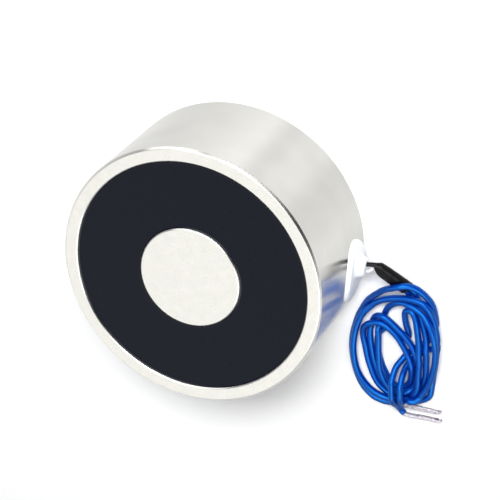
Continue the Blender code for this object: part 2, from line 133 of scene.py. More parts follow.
# Stations of each lead's turns: angle in degrees, share of the coil's outer oval, height in mm
COIL_TURNS = {
    "a": (
        (28, 0.90, 2.4), (16, 0.89, 2.4), (8, 0.90, 1.6), (0, 0.93, 0.8), (-14, 0.97, 0.8),
        (-28, 1.04, 0.8), (-38, 1.14, 0.8), (-46, 1.23, 0.8), (-60, 1.16, 0.8), (-72, 1.06, 0.8),
        (-84, 0.99, 0.8), (-96, 0.95, 0.8), (-114, 0.91, 0.8), (-139, 0.78, 0.8), (-160, 0.77, 0.8),
        (-177, 0.80, 1.3), (170, 0.77, 2.0), (154, 0.58, 2.4), (138, 0.36, 2.4), (97, 0.13, 2.4),
        (15, 0.12, 2.4), (-26, 0.30, 2.4), (-40, 0.50, 2.4), (-54, 0.72, 2.1), (-68, 0.88, 1.6),
        (-90, 0.84, 0.8), (-102, 0.74, 0.8), (-117, 0.64, 0.8), (-135, 0.54, 0.8), (-157, 0.47, 0.8),
        (-178, 0.45, 0.8), (161, 0.40, 0.8), (141, 0.28, 0.8), (101, 0.13, 0.8), (25, 0.13, 0.8),
        (12, 0.24, 0.8), (28, 0.30, 0.9), (50, 0.35, 1.5), (66, 0.47, 2.6), (70, 0.60, 3.4),
        (60, 0.70, 3.7), (48, 0.68, 3.7), (34, 0.62, 3.6), (8, 0.59, 3.5), (-17, 0.63, 3.4),
        (-37, 0.77, 3.0), (-52, 0.96, 2.6), (-67, 1.06, 2.3), (-81, 1.11, 1.0), (-93, 1.14, 0.8),
        (-104, 1.17, 0.8), (-115, 1.20, 0.8), (-131, 1.20, 0.8), (-150, 1.15, 0.8), (-170, 1.09, 0.8),
        (168, 1.00, 0.8), (155, 0.95, 1.3), (140, 0.92, 2.2), (127, 0.92, 3.4), (117, 0.93, 4.3),
        (109, 0.96, 5.1), (99, 1.00, 5.8), (90, 1.05, 6.3), (80, 1.11, 6.4), (73, 1.14, 6.1),
        (65, 1.16, 5.6), (55, 1.15, 4.9), (44, 1.11, 4.1), (32, 1.03, 3.0), (23, 0.96, 2.0),
        (13, 0.84, 1.0),
    ),
    "b": (
        (45, 0.73, 2.2), (20, 0.73, 2.5), (-1, 0.76, 2.7), (-20, 0.81, 2.4), (-35, 0.92, 1.8),
        (-51, 1.00, 1.2), (-70, 0.98, 0.8), (-90, 0.92, 0.8), (-113, 0.83, 0.8), (-137, 0.72, 0.8),
        (-161, 0.65, 0.8), (176, 0.66, 1.2), (160, 0.65, 1.8), (145, 0.60, 2.2), (130, 0.50, 2.4),
        (113, 0.34, 2.4), (75, 0.22, 2.4), (30, 0.25, 2.4), (0, 0.38, 2.4), (-22, 0.57, 2.2),
        (-40, 0.74, 1.8), (-58, 0.92, 1.4), (-78, 0.92, 1.6), (-97, 0.80, 2.2), (-117, 0.64, 2.2),
        (-137, 0.52, 2.2), (-165, 0.43, 2.2), (160, 0.43, 2.2), (135, 0.50, 2.3), (110, 0.60, 2.8),
        (84, 0.70, 3.0), (62, 0.77, 3.4), (43, 0.88, 3.8), (25, 0.97, 4.6), (5, 1.00, 4.3),
        (-16, 1.02, 3.5), (-38, 1.06, 2.7), (-58, 1.07, 2.4), (-78, 1.04, 2.3), (-100, 1.03, 2.3),
        (-120, 1.06, 2.3), (-141, 1.08, 2.3), (-161, 1.04, 2.3), (178, 0.97, 2.3), (157, 0.90, 2.3),
        (137, 0.82, 2.4), (118, 0.77, 2.9), (98, 0.77, 3.4), (77, 0.84, 4.0), (59, 0.96, 4.4),
        (51, 1.03, 4.6), (42, 1.06, 4.7), (33, 1.03, 4.2), (25, 1.00, 3.6), (16, 0.99, 3.2),
        (8, 0.97, 2.9),
    ),
}

# How each lead then dives under the turns and comes up again
TUCKS = {
    "a": ((14.6, -20.0, 0.8), (12.3, -22.2, 0.8), (10.0, -24.3, 1.0), (8.5, -26.3, 2.2), (7.5, -28.0, 4.0)),
    "b": (
        (16.3, -20.9, 2.5), (14.9, -22.3, 1.3), (13.6, -23.5, 0.8),
        (12.1, -24.9, 0.9), (10.6, -26.8, 1.9), (9.6, -28.6, 3.8),
    ),
}

# The tails that cross the turns, and the bared tips beyond them, as in the part's source
TAIL_ROUTES = {
    "a": (
        (7.2, -29.6, 5.35), (7.1, -31.8, 5.35), (7.3, -34.4, 5.35), (7.5, -36.3, 5.25), (7.7, -37.7, 4.3),
        (8.0, -39.1, 2.7), (8.5, -40.6, 1.4), (9.1, -41.6, 0.95), (9.6, -42.1, 0.85),
    ),
    "b": ((9.3, -30.2, 5.35), (9.35, -33.0, 5.35), (9.5, -35.4, 5.3), (9.6, -36.7, 4.7), (9.7, -37.6, 3.7)),
}
TIP_ROUTES = {
    "a": ((9.9, -42.3, 0.82), (11.6, -42.4, 0.75), (15.0, -42.2, 0.65), (19.2, -42.2, 0.6)),
    "b": ((9.8, -37.95, 3.3), (11.0, -38.5, 2.7), (12.9, -39.0, 2.0), (15.3, -39.4, 1.3), (18.9, -39.9, 0.6)),
}

# Tinned tips: seven strands, the outer six twisted round the first and looser towards the end
STRAND_REACH = 0.34 * TIP_DIAMETER
STRAND_DIAMETER = 1.4 * STRAND_REACH
TWIST_PITCH = 7.0 * MM
LOOSE_SHARE = 0.2
LOOSENING = 0.35

# How the loose turns settle on each other; the lengths at a lead's start and end that stay as planned
PINNED_LENGTH = {"a": (6.0 * MM, 13.0 * MM), "b": (5.0 * MM, 6.5 * MM)}
BEAD_SPACING = 0.7 * MM
SETTLE_ROUNDS = 200
ROUNDS_PER_SEARCH = 8
SETTLE_SPREAD = 1.5
SETTLE_FALL = 0.08 * MM
SETTLE_PULL = 0.08
SETTLE_STIFFNESS = 0.5
SETTLE_REACH = 1.5
OWN_REACH = 2.5 * LEAD_DIAMETER
TUBE_BEADS = 16

# Camera, from the photograph's own perspective
CAMERA_PLACE = Vector((141.11, 187.49, 343.52)) * MM
CAMERA_RIGHT = Vector((0.92361, 0.01982, -0.38283))
CAMERA_UP = Vector((-0.19380, 0.88578, -0.42171))
CAMERA_LENS = 122.09
CAMERA_SENSOR = 36.0

# Square soft lamps: azimuth and elevation in degrees, and size in metres
LAMP_DISTANCE = 0.85
KEY_LAMP = ((76, 54), 0.28)
FRONT_LAMP = ((48, 50), 0.5)
SIDE_LAMP = ((125, 42), 0.5)
EVEN_LIGHT = (0.94, 0.97, 1.0, 1.0)
FLOOR_HALF_SIZE = 1.2
FLOOR_DROP = 0.02 * MM

# What the pot's wall mirrors all round, below the horizon: place from 0 to 1 round the sky, and brightness
WALL_BANDS = (
    (0.0, 0.84), (0.06, 0.98), (0.10, 0.98), (0.17, 0.76), (0.27, 0.70), (0.40, 0.76),
    (0.445, 0.90), (0.49, 0.79), (0.57, 0.74), (0.62, 0.88), (0.665, 0.88), (0.71, 0.79),
    (0.755, 1.0), (0.80, 0.92), (0.85, 0.84), (0.93, 0.78), (0.98, 0.80),
)

# Above the horizon the sky darkens up to this height, as a share of straight up, between the soft boxes
HIGH_SKY_HEIGHT = 0.35
HIGH_SKY_BRIGHTNESS = 0.25

# Patches of the sky that shiny surfaces mirror: direction, the cosines where each starts and is
# full, and brightness
SOFT_BOXES = (
    ((0.650, 0.500, 0.572), 0.72, 0.9, 0.03),  # a dark gap, for the dark line of the rim's chamfer
    ((-0.331, -0.464, 0.822), 0.76, 0.92, 0.97),  # what the holding faces mirror
    ((-0.005, 0.429, 0.903), 0.857, 0.96, 5.5),  # sheen on strands that run across the picture
    ((0.420, -0.460, 0.782), 0.9, 0.97, 4.5),  # sheen on strands that run up the picture
    ((-0.539, 0.770, 0.342), 0.94, 0.98, 1.5),  # the chamfer's bright line at the top left
)

# The middle part of a noise pattern's range, which holds nearly all of it, and all of the range
PATTERN_SPAN = (0.3, 0.7)
FULL_SPAN = (0.0, 1.0)

# Fineness
TURN_STEPS = 256
BUSH_STEPS = 96
THREAD_STEPS = 48
SHRINK_SIDES = 40
SHRINK_SECTIONS = 44
CORD_SIDES = 5
ROUTE_SPACING = 0.4 * MM
SHARP_ANGLE = math.radians(35)
WELD = 0.0005 * MM


def linear(colour):
    """An sRGB colour written as #rrggbb, as scene-linear light with full alpha."""
    channels = [int(colour[i : i + 2], 16) / 255 for i in (1, 3, 5)]
    return (*(c / 12.92 if c <= 0.04045 else ((c + 0.055) / 1.055) ** 2.4 for c in channels), 1.0)


def per_mm(size):
    """The scale that gives a pattern in Object coordinates a repeat of this many millimetres."""
    return 1000.0 / size


def add_node(tree, kind, settings=None, links=None):
    """Adds a node, sets its properties and input values, and links outputs to its inputs."""
    node = tree.nodes.new(kind)
    for name, value in (settings or {}).items():
        if name in node.bl_rna.properties:
            setattr(node, name, value)
        else:
            node.inputs[name].default_value = value
    for name, output in (links or {}).items():
        tree.links.new(output, node.inputs[name])
    return node


def new_material(name, base, metallic, roughness):
    """A Principled material, with its tree and its shader."""
    made = bpy.data.materials.new(name)
    made.use_nodes = True
    tree = made.node_tree
    shader = tree.nodes["Principled BSDF"]
    shader.inputs["Base Color"].default_value = base
    shader.inputs["Metallic"].default_value = metallic
    shader.inputs["Roughness"].default_value = roughness
    return made, tree, shader


def pattern(tree, size, detail=2.0, stretch=(1.0, 1.0, 1.0)):
    """A cloudy pattern on the piece, its features this many millimetres across and stretched by axis."""
    coordinates = add_node(tree, "ShaderNodeTexCoord").outputs["Object"]
    scaled = add_node(tree, "ShaderNodeMapping", {"Scale": stretch}, {"Vector": coordinates})
    settings = {"Scale": per_mm(size), "Detail": detail}
    return add_node(tree, "ShaderNodeTexNoise", settings, {"Vector": scaled.outputs["Vector"]}).outputs["Fac"]


def vary(tree, shader, factor, colours=None, roughness=None, relief=None, span=PATTERN_SPAN):
    """Lets a pattern vary the shader between two colours and two roughnesses, and shape its relief.

    The relief is its depth in millimetres and its strength."""
    spread = {"From Min": span[0], "From Max": span[1]}
    if colours:
        share = add_node(tree, "ShaderNodeMapRange", spread, {"Value": factor}).outputs["Result"]
        mixed = add_node(tree, "ShaderNodeMix", {"data_type": "RGBA"}, {0: share})
        mixed.inputs[6].default_value, mixed.inputs[7].default_value = colours
        tree.links.new(mixed.outputs[2], shader.inputs["Base Color"])
    if roughness:
        settings = {**spread, "To Min": roughness[0], "To Max": roughness[1]}
        mapped = add_node(tree, "ShaderNodeMapRange", settings, {"Value": factor})
        tree.links.new(mapped.outputs["Result"], shader.inputs["Roughness"])
    if relief:
        settings = {"Distance": relief[0] * MM, "Strength": relief[1]}
        raised = add_node(tree, "ShaderNodeBump", settings, {"Height": factor})
        tree.links.new(raised.outputs["Normal"], shader.inputs["Normal"])


def bright_nickel():
    """Bright nickel plate over turned steel: a mirror softened along the axis by fine turning marks."""
    made, tree, shader = new_material("bright_nickel_plate", linear("#f8f7f2"), 1.0, 0.22)
    vary(tree, shader, pattern(tree, 9.0), colours=(linear("#faf9f4"), linear("#f4f3ee")))
    # Turning marks run round the axis, too fine to see one by one, and blur reflections along it
    marks = pattern(tree, 0.5, 3.0, (0.02, 0.02, 1.0))
    vary(tree, shader, marks, roughness=(0.2, 0.25), relief=(0.004, 0.35))
    shader.inputs["Anisotropic"].default_value = 0.9
    shader.inputs["Anisotropic Rotation"].default_value = 0.25
    around = add_node(tree, "ShaderNodeTangent", {"direction_type": "RADIAL", "axis": "Z"})
    tree.links.new(around.outputs["Tangent"], shader.inputs["Tangent"])
    return made


def ground_nickel():
    """Nickel plate on ground steel: the holding faces, satin with a fine even grain and a few pits."""
    made, tree, shader = new_material("ground_nickel_face", linear("#f5f4ee"), 1.0, 0.3)
    vary(tree, shader, pattern(tree, 2.5, 3.0), colours=(linear("#faf8f1"), linear("#f4f3ec")))
    # The grinding grain is finer than the render shows, and is drawn at 0.45 mm
    vary(tree, shader, pattern(tree, 0.45, 4.0), roughness=(0.26, 0.34), relief=(0.004, 0.3))
    return made


def cast_epoxy():
    """Black potting epoxy, cast level: smooth and glossy, with faint flow waves and settled dust."""
    made, tree, shader = new_material("cast_black_epoxy", linear("#030810"), 0.0, 0.2)
    # Only the noise's highest spots are dust
    settings = {"From Min": 0.74, "From Max": 0.8, "To Min": 0.0, "To Max": 0.5}
    dust = add_node(tree, "ShaderNodeMapRange", settings, {"Value": pattern(tree, 0.35, 1.0)})
    colours = linear("#030714"), linear("#3a3e45")
    vary(tree, shader, dust.outputs["Result"], colours=colours, span=FULL_SPAN)
    vary(tree, shader, pattern(tree, 3.0), roughness=(0.16, 0.26))
    vary(tree, shader, pattern(tree, 6.0, 1.0), relief=(0.02, 0.5))
    shader.inputs["IOR"].default_value = 1.29
    return made


def moulded_rubber():
    """Soft white moulding: matt, slightly translucent, with a faint moulded grain."""
    made, tree, shader = new_material("moulded_white_rubber", linear("#f0f4f8"), 0.0, 0.42)
    vary(tree, shader, pattern(tree, 1.5), roughness=(0.36, 0.5))
    vary(tree, shader, pattern(tree, 0.3), relief=(0.01, 0.3))
    shader.inputs["Subsurface Weight"].default_value = 0.25
    shader.inputs["Subsurface Radius"].default_value = (1.0, 1.0, 1.0)
    shader.inputs["Subsurface Scale"].default_value = 0.8 * MM
    return made


def black_sleeving():
    """Black extruded sleeving, satin."""
    made, tree, shader = new_material("extruded_black_sleeving", linear("#0a0a0d"), 0.0, 0.4)
    vary(tree, shader, pattern(tree, 0.8), roughness=(0.32, 0.48))
    shader.inputs["IOR"].default_value = 1.3
    return made


def clear_sleeving():
    """Natural extruded sleeving: milky and half clear, so that the wire inside shows as a dark line."""
    made, tree, shader = new_material("extruded_natural_sleeving", linear("#f0f1f4"), 0.0, 0.12)
    vary(tree, shader, pattern(tree, 0.9), colours=(linear("#f4f5f7"), linear("#e4e6ea")))
    shader.inputs["Transmission Weight"].default_value = 0.35
    shader.inputs["IOR"].default_value = 1.4
    return made


def shrunk_polyolefin():
    """Black heat-shrink tube: satin, with fine wrinkles where it drew in."""
    made, tree, shader = new_material("shrunk_black_polyolefin", linear("#0c0a0a"), 0.0, 0.38)
    vary(tree, shader, pattern(tree, 0.7, 3.0), roughness=(0.3, 0.48), relief=(0.03, 0.4))
    shader.inputs["IOR"].default_value = 1.3
    return made


def insulation(colour):
    """Extruded PVC wire insulation: deep blue with a broad soft sheen of a paler blue."""
    made, tree, shader = new_material("extruded_blue_pvc", colour, 0.0, 0.34)
    deeper = tuple(0.8 * channel for channel in colour[:3]) + (1.0,)
    vary(tree, shader, pattern(tree, 4.0), colours=(colour, deeper))
    vary(tree, shader, pattern(tree, 1.2), roughness=(0.34, 0.42))
    vary(tree, shader, pattern(tree, 1.8), relief=(0.015, 0.2))
    shader.inputs["IOR"].default_value = 1.9
    shader.inputs["Specular IOR Level"].default_value = 1.0
    shader.inputs["Specular Tint"].default_value = linear("#38b0ff")
    return made


def tinned_copper():
    """Tinned copper strands, dipped in solder: greyish soft metal, mottled lighter and darker at random."""
    made, tree, shader = new_material("tinned_copper_strands", linear("#b5afb2"), 1.0, 0.3)
    vary(tree, shader, pattern(tree, 0.6, 3.0), colours=(linear("#cfcad1"), linear("#8d8893")))
    vary(tree, shader, pattern(tree, 0.3), roughness=(0.25, 0.38))
    return made


def soft_solder():
    """Soft solder joint: grey metal with a slightly lumpy skin."""
    made, tree, shader = new_material("soft_solder", linear("#b9babd"), 1.0, 0.35)
    vary(tree, shader, pattern(tree, 0.4), relief=(0.04, 0.5))
    return made


def enamelled_copper():
    """Enamelled copper wire in level layers: warm, glossy rounds side by side, with painted shade between
    them.
    """
    made, tree, shader = new_material("enamelled_copper_wire", linear("#a4552a"), 1.0, 0.3)
    # Wire of 0.4 mm wound side by side along the axis
    coordinates = add_node(tree, "ShaderNodeTexCoord").outputs["Object"]
    settings = {"bands_direction": "Z", "Scale": per_mm(0.4) / (2 * math.pi), "Distortion": 0.4}
    layers = add_node(tree, "ShaderNodeTexWave", settings, {"Vector": coordinates}).outputs["Fac"]
    # Painted shade: darker in the grooves between the rounds; painted highlight: lighter on their crowns
    colours = linear("#7c3b1c"), linear("#bd6a38")
    vary(tree, shader, layers, colours=colours, relief=(0.1, 0.8), span=FULL_SPAN)
    return made


def moulded_nylon():
    """Natural moulded nylon: cream, satin, slightly cloudy."""
    made, tree, shader = new_material("moulded_nylon", linear("#e4dfcf"), 0.0, 0.5)
    vary(tree, shader, pattern(tree, 5.0), colours=(linear("#e8e4d6"), linear("#d9d2bf")))
    return made


def polyester_tape():
    """Yellow polyester tape: thin glossy film with a lapped edge every turn."""
    made, tree, shader = new_material("yellow_polyester_tape", linear("#e2bd45"), 0.0, 0.3)
    laps = pattern(tree, 1.2, 1.0, (0.05, 0.05, 1.0))
    colours = linear("#e8c650"), linear("#cfa636")
    vary(tree, shader, laps, colours=colours, relief=(0.03, 0.5), span=FULL_SPAN)
    return made


def smooth(mesh):
    """Shades a mesh smooth, but for its sharp edges."""
    mesh.shade_smooth()
    mesh.set_sharp_from_angle(angle=SHARP_ANGLE)


def evaluated_mesh(obj):
    """A new mesh of an object as its modifiers leave it."""
    bpy.context.view_layer.update()
    graph = bpy.context.evaluated_depsgraph_get()
    return bpy.data.meshes.new_from_object(obj.evaluated_get(graph))


def aimed(place, direction):
    """The matrix of something at a place whose Z axis points in a direction."""
    return Matrix.Translation(place) @ direction.to_track_quat("Z", "Y").to_matrix().to_4x4()


def walled(obj, thickness):
    """Gives an open tube a wall of this thickness, inwards."""
    wall = obj.modifiers.new("Wall", "SOLIDIFY")
    wall.thickness = thickness
    wall.offset = -1.0


def piece_object(name, shape, finishes):
    """Makes a finished mesh object out of a bmesh, with its normals outwards and its place in its mesh."""
    bmesh.ops.remove_doubles(shape, verts=shape.verts, dist=WELD)
    bmesh.ops.recalc_face_normals(shape, faces=shape.faces)
    mesh = bpy.data.meshes.new(name)
    shape.to_mesh(mesh)
    shape.free()
    for finish in finishes:
        mesh.materials.append(finish)
    smooth(mesh)
    made = bpy.data.objects.new(name, mesh)
    bpy.context.collection.objects.link(made)
    return made


def applied(obj):
    """Applies an object's modifiers to its mesh."""
    mesh = evaluated_mesh(obj)
    obj.modifiers.clear()
    obj.data = mesh


def cut(obj, cutter):
    """Takes a cutter's shape out of an object, and the cutter away."""
    boolean = obj.modifiers.new("Cut", "BOOLEAN")
    boolean.operation = "DIFFERENCE"
    boolean.solver = "EXACT"
    boolean.object = cutter
    applied(obj)
    bpy.data.objects.remove(cutter, do_unlink=True)
    smooth(obj.data)


def rod(name, start, end, radius, sides=48):
    """A plain round cutter between two points."""
    shape = bmesh.new()
    span = end - start
    bmesh.ops.create_cone(
        shape,
        cap_ends=True,
        segments=sides,
        radius1=radius,
        radius2=radius,
        depth=span.length,
        matrix=aimed((start + end) / 2, span),
    )
    return piece_object(name, shape, ())


def rounded(corners, steps=4):
    """A profile with its corners rounded; each corner is (radius from the axis, height, rounding)."""
    points = [Vector(corner[:2]) for corner in corners]
    outline = []
    for index, (point, corner) in enumerate(zip(points, corners)):
        rounding = corner[2]
        if rounding == 0.0:
            outline.append(point)
            continue
        to_before = (points[index - 1] - point).normalized()
        to_after = (points[(index + 1) % len(points)] - point).normalized()
        first, last = point + to_before * rounding, point + to_after * rounding
        outline.append(first + to_before * SUPPORT)
        for step in range(steps + 1):
            share = step / steps
            outline.append(first.lerp(point, share).lerp(point.lerp(last, share), share))
        outline.append(last + to_after * SUPPORT)
    return outline


def spun(outline, closed, steps=TURN_STEPS):
    """A bmesh turned about the Z axis from a profile in the XZ plane."""
    shape = bmesh.new()
    verts = [shape.verts.new((point[0], 0.0, point[1])) for point in outline]
    edges = [shape.edges.new(pair) for pair in zip(verts, verts[1:])]
    if closed:
        edges.append(shape.edges.new((verts[-1], verts[0])))
    bmesh.ops.spin(
        shape,
        geom=verts + edges,
        cent=(0, 0, 0),
        axis=(0, 0, 1),
        dvec=(0, 0, 0),
        angle=2 * math.pi,
        steps=steps,
        use_merge=True,
    )
    return shape


def smooth_route(points, spacing):
    """Evenly spaced points on a smooth curve through points, with any further columns carried along."""
    points = np.array(points, dtype=float)
    ends = np.vstack([2 * points[0] - points[1], points, 2 * points[-1] - points[-2]])
    shares = np.linspace(0.0, 1.0, 13)[1:, None]
    line = [points[:1]]
    for before, start, end, after in zip(ends, ends[1:], ends[2:], ends[3:]):
        pairs = (before, start), (start, end), (end, after)
        spans = [np.linalg.norm(second[:3] - first[:3]) for first, second in pairs]
        leave = start + (end - before) / (spans[0] + spans[1]) * spans[1] / 3
        reach = end - (after - start) / (spans[1] + spans[2]) * spans[1] / 3
        line.append(
            (1 - shares) ** 3 * start
            + 3 * (1 - shares) ** 2 * shares * leave
            + 3 * (1 - shares) * shares**2 * reach
            + shares**3 * end
        )
    line = np.vstack(line)
    along = distances(line)
    count = max(2, round(along[-1] / spacing))
    places = np.linspace(0.0, along[-1], count + 1)
    return np.stack([np.interp(places, along, line[:, column]) for column in range(line.shape[1])], axis=1)


def distances(line):
    """The distance along a line of points to each of them."""
    return np.concatenate([[0.0], np.cumsum(np.linalg.norm(np.diff(line[:, :3], axis=0), axis=1))])


def from_mouth(point):
    """A point given in mm from the mouth of the bush in X, as a point of the part in metres."""
    return Vector((point[0] * MM + BUSH_MOUTH, point[1] * MM, point[2] * MM))


def shrink_axes():
    """The heat-shrink tube's wide and narrow directions."""
    level = Vector((0.0, 0.0, 1.0)).cross(SHRINK_DIRECTION).normalized()
    upright = SHRINK_DIRECTION.cross(level)
    wide = level * math.cos(SHRINK_ROLL) + upright * math.sin(SHRINK_ROLL)
    return wide, SHRINK_DIRECTION.cross(wide)


def channel(side):
    """Where one lead's middle line enters the heat-shrink tube."""
    return SHRINK_NEAR_END + side * (LEAD_DIAMETER + SHRINK_FIT) / 2 * shrink_axes()[0]


def planned_route(lead, side):
    """The route of one flexible lead before it settles, from its joint to its stripped end."""
    entry = channel(side)
    mouth = entry + SHRINK_LENGTH * SHRINK_DIRECTION
    end = from_mouth(RUN_ENDS[lead])
    bend = RUN_BENDS[lead]
    handles = mouth + bend * SHRINK_DIRECTION, end - bend * RUN_END_DIRECTION
    points = [entry + LEAD_START * SHRINK_DIRECTION, *interpolate_bezier(mouth, *handles, end, 4)]
    for angle, share, height in COIL_TURNS[lead]:
        turn = math.radians(angle)
        across = COIL_MIDDLE.x + COIL_REACH.x * share * math.cos(turn)
        points.append(from_mouth((across, COIL_MIDDLE.y + COIL_REACH.y * share * math.sin(turn), height)))
    points += [from_mouth(point) for point in TUCKS[lead] + TAIL_ROUTES[lead]]
    return smooth_route(points, BEAD_SPACING)


def settled(routes):
    """The routes after their overlapping turns have pushed apart and come to rest on each other."""
    beads = np.vstack(list(routes.values()))
    planned = beads.copy()
    radius = LEAD_DIAMETER / 2
    counts = [len(route) for route in routes.values()]
    starts = np.concatenate([[0], np.cumsum(counts)])
    owner = np.repeat(np.arange(len(counts)), counts)
    order = np.concatenate([np.arange(count) for count in counts])
    free = np.ones(len(beads), dtype=bool)
    for (first, last), lead in zip(zip(starts, starts[1:]), routes):
        free[first : first + round(PINNED_LENGTH[lead][0] / BEAD_SPACING)] = False
        free[last - round(PINNED_LENGTH[lead][1] / BEAD_SPACING) : last] = False
    beads[free, 2] = radius + (beads[free, 2] - radius) * SETTLE_SPREAD
    skip = round(OWN_REACH / BEAD_SPACING)
    strangers = np.triu((owner[:, None] != owner) | (np.abs(order[:, None] - order) > skip), 1)
    steps = [SHRINK_DIRECTION * SHRINK_LENGTH * step / (TUBE_BEADS - 1) for step in range(TUBE_BEADS)]
    tube = np.array([channel(side) + step for side in (1, 0, -1) for step in steps])
    tube_reach = radius + LEAD_DIAMETER / 2 + SHRINK_FIT + SHRINK_WALL
    outside = free & (order > 2 * skip)

    for step in range(SETTLE_ROUNDS):
        if step % ROUNDS_PER_SEARCH == 0:
            apart = np.linalg.norm(beads[:, None] - beads[None], axis=2)
            first, second = np.nonzero(strangers & (apart < LEAD_DIAMETER * SETTLE_REACH))
        height = beads[:, 2]
        lowered = np.maximum(height - SETTLE_FALL, np.minimum(height, planned[:, 2]))
        beads[free, 2] = lowered[free]
        beads[free, :2] += SETTLE_PULL * (planned[free, :2] - beads[free, :2])
        for start, stop in zip(starts, starts[1:]):
            moved = beads[start:stop] - planned[start:stop]
            moved[1:-1, :2] += SETTLE_STIFFNESS * ((moved[:-2, :2] + moved[2:, :2]) / 2 - moved[1:-1, :2])
            levels = beads[start:stop, 2].copy()
            levels[1:-1] += SETTLE_STIFFNESS * ((levels[:-2] + levels[2:]) / 2 - levels[1:-1])
            moved[:, 2] = levels - planned[start:stop, 2]
            loose = free[start:stop]
            beads[start:stop][loose] = (planned[start:stop] + moved)[loose]
        for _ in range(2):
            gaps = beads[first] - beads[second]
            lengths = np.linalg.norm(gaps, axis=1)
            hit = lengths < LEAD_DIAMETER
            push = gaps[hit] * ((LEAD_DIAMETER / np.maximum(lengths[hit], WELD) - 1) / 2)[:, None]
            move = np.zeros_like(beads)
            shares = np.zeros(len(beads))
            np.add.at(move, first[hit], push)
            np.add.at(move, second[hit], -push)
            np.add.at(shares, first[hit], 1)
            np.add.at(shares, second[hit], 1)
            move /= np.sqrt(np.maximum(shares, 1))[:, None]
            beads[free] += move[free]
            gaps = beads[outside, None] - tube[None]
            lengths = np.linalg.norm(gaps, axis=2)
            nearest = lengths.argmin(axis=1)
            rows = np.arange(len(nearest))
            short = np.maximum(tube_reach / lengths[rows, nearest] - 1, 0)
            beads[outside] += gaps[rows, nearest] * short[:, None]
            beads[free, 2] = np.maximum(beads[free, 2], radius)
    return {lead: beads[start:stop] for lead, start, stop in zip(routes, starts, starts[1:])}


def cord_curve(name, line, diameter, finish):
    """A round cord as a curve of one open spline, with closed ends."""
    curve = bpy.data.curves.new(name, "CURVE")
    curve.dimensions = "3D"
    curve.bevel_depth = diameter / 2
    curve.bevel_resolution = CORD_SIDES
    curve.use_fill_caps = True
    spline = curve.splines.new("POLY")
    spline.points.add(len(line) - 1)
    for point, place in zip(spline.points, line):
        point.co = (*place[:3], 1.0)
    spline.use_smooth = True
    curve.materials.append(finish)
    made = bpy.data.objects.new(name, curve)
    bpy.context.collection.objects.link(made)
    return made


def as_mesh_piece(obj):
    """Turns a curve object into a smooth mesh object of the same name."""
    mesh = evaluated_mesh(obj)
    name = obj.name
    bpy.data.objects.remove(obj, do_unlink=True)
    shape = bmesh.new()
    shape.from_mesh(mesh)
    materials = list(mesh.materials)
    return piece_object(name, shape, materials)


def frames_along(line):
    """For each point of a line, two unit directions across it that don't twist along the way."""
    tangents = np.gradient(line, axis=0)
    tangents /= np.linalg.norm(tangents, axis=1)[:, None]
    across = np.cross(tangents[0], (0.0, 0.0, 1.0))
    sides = []
    for tangent in tangents:
        across = across - np.dot(across, tangent) * tangent
        across /= np.linalg.norm(across)
        sides.append(across)
    sides = np.array(sides)
    return sides, np.cross(tangents, sides)


def twisted_strands(name, line, finish):
    """A tip of seven tinned strands, one straight and six twisted round it, loosening at the end."""
    sides, uprights = frames_along(line)
    along = distances(line)
    shape = bmesh.new()
    for index in range(7):
        # Each strand loosens by its own amount and ends at its own place
        angles = 2 * math.pi * (along / TWIST_PITCH + index / 6)
        near_end = np.clip((along / along[-1] - (1 - LOOSE_SHARE)) / LOOSE_SHARE, 0.0, 1.0)
        spread = STRAND_REACH * (1.0 + LOOSENING * near_end * math.sin(1.7 * index)) if index else 0.0 * along
        across, up = spread * np.cos(angles), spread * np.sin(angles)
        route = line + sides * across[:, None] + uprights * up[:, None]
        shortened = len(route) - (index * 2) % 5
        piece = as_mesh_piece(cord_curve(name + "_strand", route[:shortened], STRAND_DIAMETER, finish))
        shape.from_mesh(piece.data)
        bpy.data.objects.remove(piece, do_unlink=True)
    return piece_object(name, shape, (finish,))


def magnet_settings():
    """The settings that the operators read."""
    return bpy.context.scene.magnet_settings


def colour_setting(name, description, default):
    """A colour of the panel."""
    return FloatVectorProperty(
        name=name, description=description, subtype="COLOR", size=4, min=0.0, max=1.0, default=default
    )


def length_setting(name, description, low, high, default):
    """A length of the panel, given in millimetres."""
    return FloatProperty(
        name=name,
        description=description,
        subtype="DISTANCE",
        unit="LENGTH",
        min=low * MM,
        max=high * MM,
        default=default * MM,
    )


def power_setting(name, description, default):
    """A lamp's power in watts."""
    return FloatProperty(
        name=name, description=description, subtype="POWER", unit="POWER", min=0.0, default=default
    )


class MagnetSettings(bpy.types.PropertyGroup):
    """Sizes and colours of the magnet's visible pieces."""

    insulation_colour: colour_setting(
        "Insulation", "Colour of the flexible leads' insulation", linear("#002a8c")
    )
    edge_rounding: length_setting(
        "Edge rounding", "How far the pot's machined edges are rounded", 0.0, 0.2, 0.08
    )
    saddle_thickness: length_setting(
        "Saddle thickness", "Thickness of the bush's saddle on the wall", 0.5, 2.0, 0.9
    )


class StageSettings(bpy.types.PropertyGroup):
    """Light and surroundings."""

    floor_colour: colour_setting("Floor", "Colour of the floor", (0.95, 0.95, 0.955, 1.0))
    key_power: power_setting("Key lamp", "Power of the small lamp towards the top of the picture", 5.7)
    front_power: power_setting("Front lamp", "Power of the large lamp by the camera", 4.4)
    side_power: power_setting("Side lamp", "Power of the large lamp on the left", 1.4)
    sky_strength: FloatProperty(
        name="Surroundings",
        description="Strength of the even light from all round",
        min=0.0,
        max=2.0,
        default=0.12,
    )


